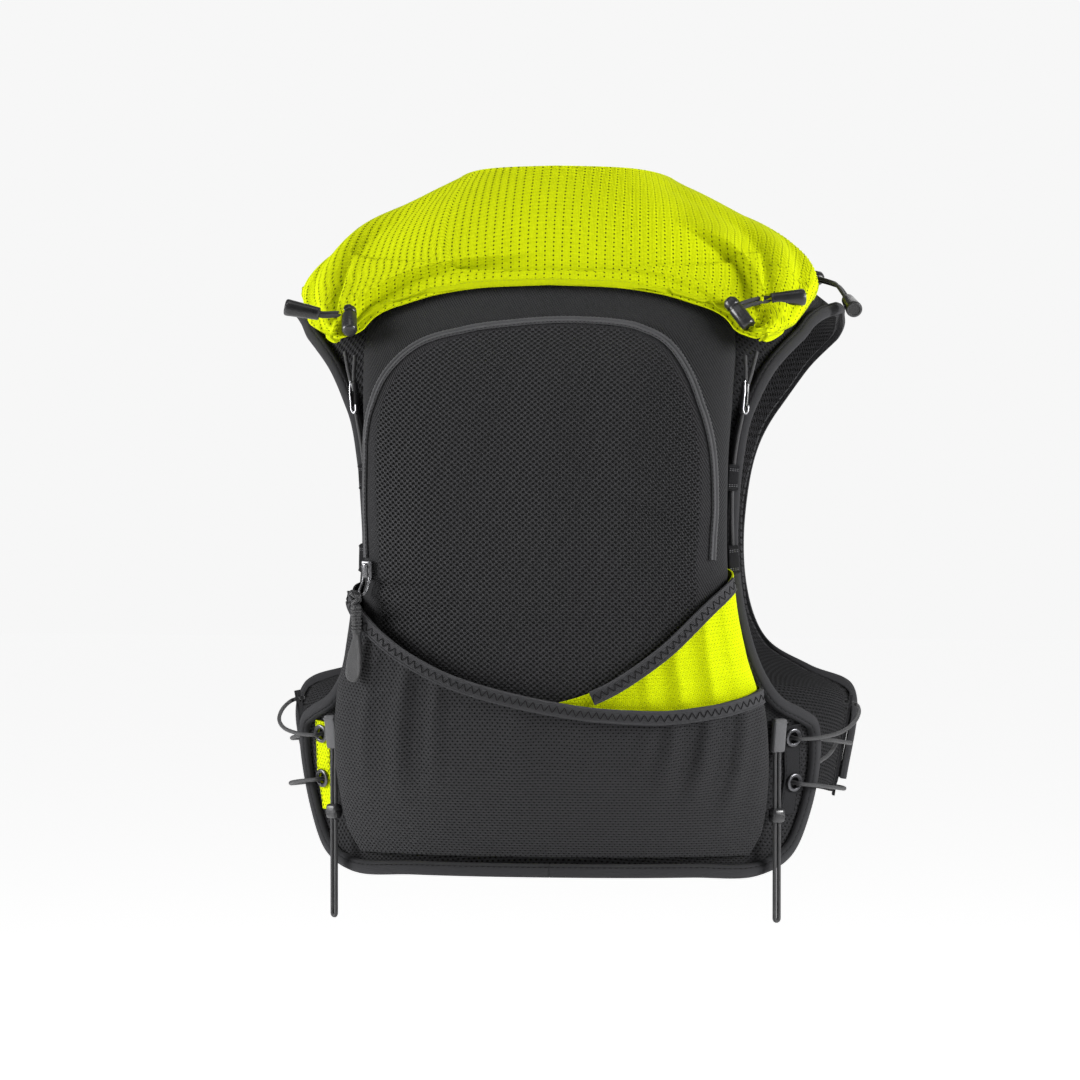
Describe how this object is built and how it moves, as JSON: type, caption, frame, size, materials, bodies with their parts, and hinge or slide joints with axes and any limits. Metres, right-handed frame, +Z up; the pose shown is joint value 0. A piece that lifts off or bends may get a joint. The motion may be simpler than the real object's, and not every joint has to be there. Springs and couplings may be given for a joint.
{
  "type": "running hydration vest",
  "caption": "Worn-shape running vest: zipped mesh back pack, crossed stretch pockets, lime shoulder yoke, side lacing, elastic cords with locks and chest straps.",
  "frame": {"origin": "midway between the shoulders, at the height where the shoulder straps rest", "axes": "+Z up along the wearer's spine, -Y out of the back where the pack is, +X to the wearer's right"},
  "size_m": [0.3542, 0.2875, 0.4437],
  "materials": {
    "black_cloth": "matt black binding and webbing",
    "black_mesh": "matt near-black spacer mesh",
    "black_plastic": "satin black moulded plastic",
    "cord": "dark braided elastic cord",
    "grey_elastic": "dark grey woven elastic",
    "lime_mesh": "soft lime-yellow punched mesh",
    "pack_mesh": "matt near-black stretch mesh with small holes",
    "steel": "dark plated steel"
  },
  "bodies": {
    "root": {"armhole_binding_left": "black_cloth", "armhole_binding_right": "black_cloth", "back_panel": "black_mesh", "chest_clip_lower": "black_plastic", "chest_clip_upper": "black_plastic", "chest_strap_lower": "black_cloth", "chest_strap_upper": "black_cloth", "cord_anchor_left": "black_cloth", "cord_anchor_right": "black_cloth", "cord_keeper_left": "black_cloth", "cord_keeper_right": "black_cloth", "corner_left_cord": "cord", "corner_left_end": "black_plastic", "corner_left_lock": "black_plastic", "corner_right_cord": "cord", "corner_right_end": "black_plastic", "corner_right_lock": "black_plastic", "eyelet_lower_left": "steel", "eyelet_lower_right": "steel", "eyelet_upper_left": "steel", "eyelet_upper_right": "steel", "front_binding_left": "black_cloth", "front_binding_right": "black_cloth", "front_panel_left": "black_mesh", "front_panel_right": "black_mesh", "lace_tape_left": "black_cloth", "lace_tape_right": "black_cloth", "loop_bead_left": "black_plastic", "loop_bead_right": "black_plastic", "loop_tab_left": "black_cloth", "loop_tab_right": "black_cloth", "lower_loop_left": "cord", "lower_loop_right": "cord", "pack_shell": "pack_mesh", "pocket_outer": "pack_mesh", "pocket_outer_band": "grey_elastic", "pocket_under": "lime_mesh", "pocket_under_band": "grey_elastic", "shoulder_right_cord": "cord", "shoulder_right_end": "black_plastic", "shoulder_right_lock": "black_plastic", "shoulder_yoke": "lime_mesh", "side_cord_left": "cord", "side_cord_right": "cord", "side_gate_left": "black_plastic", "side_gate_right": "black_plastic", "side_lace_left": "cord", "side_lace_right": "cord", "wing_patch_left": "lime_mesh", "wing_patch_right": "black_cloth", "wing_tape_left": "black_cloth", "zip_pull": "black_cloth", "zip_slider": "steel", "zip_welt": "black_cloth"}
  },
  "joints": []
}
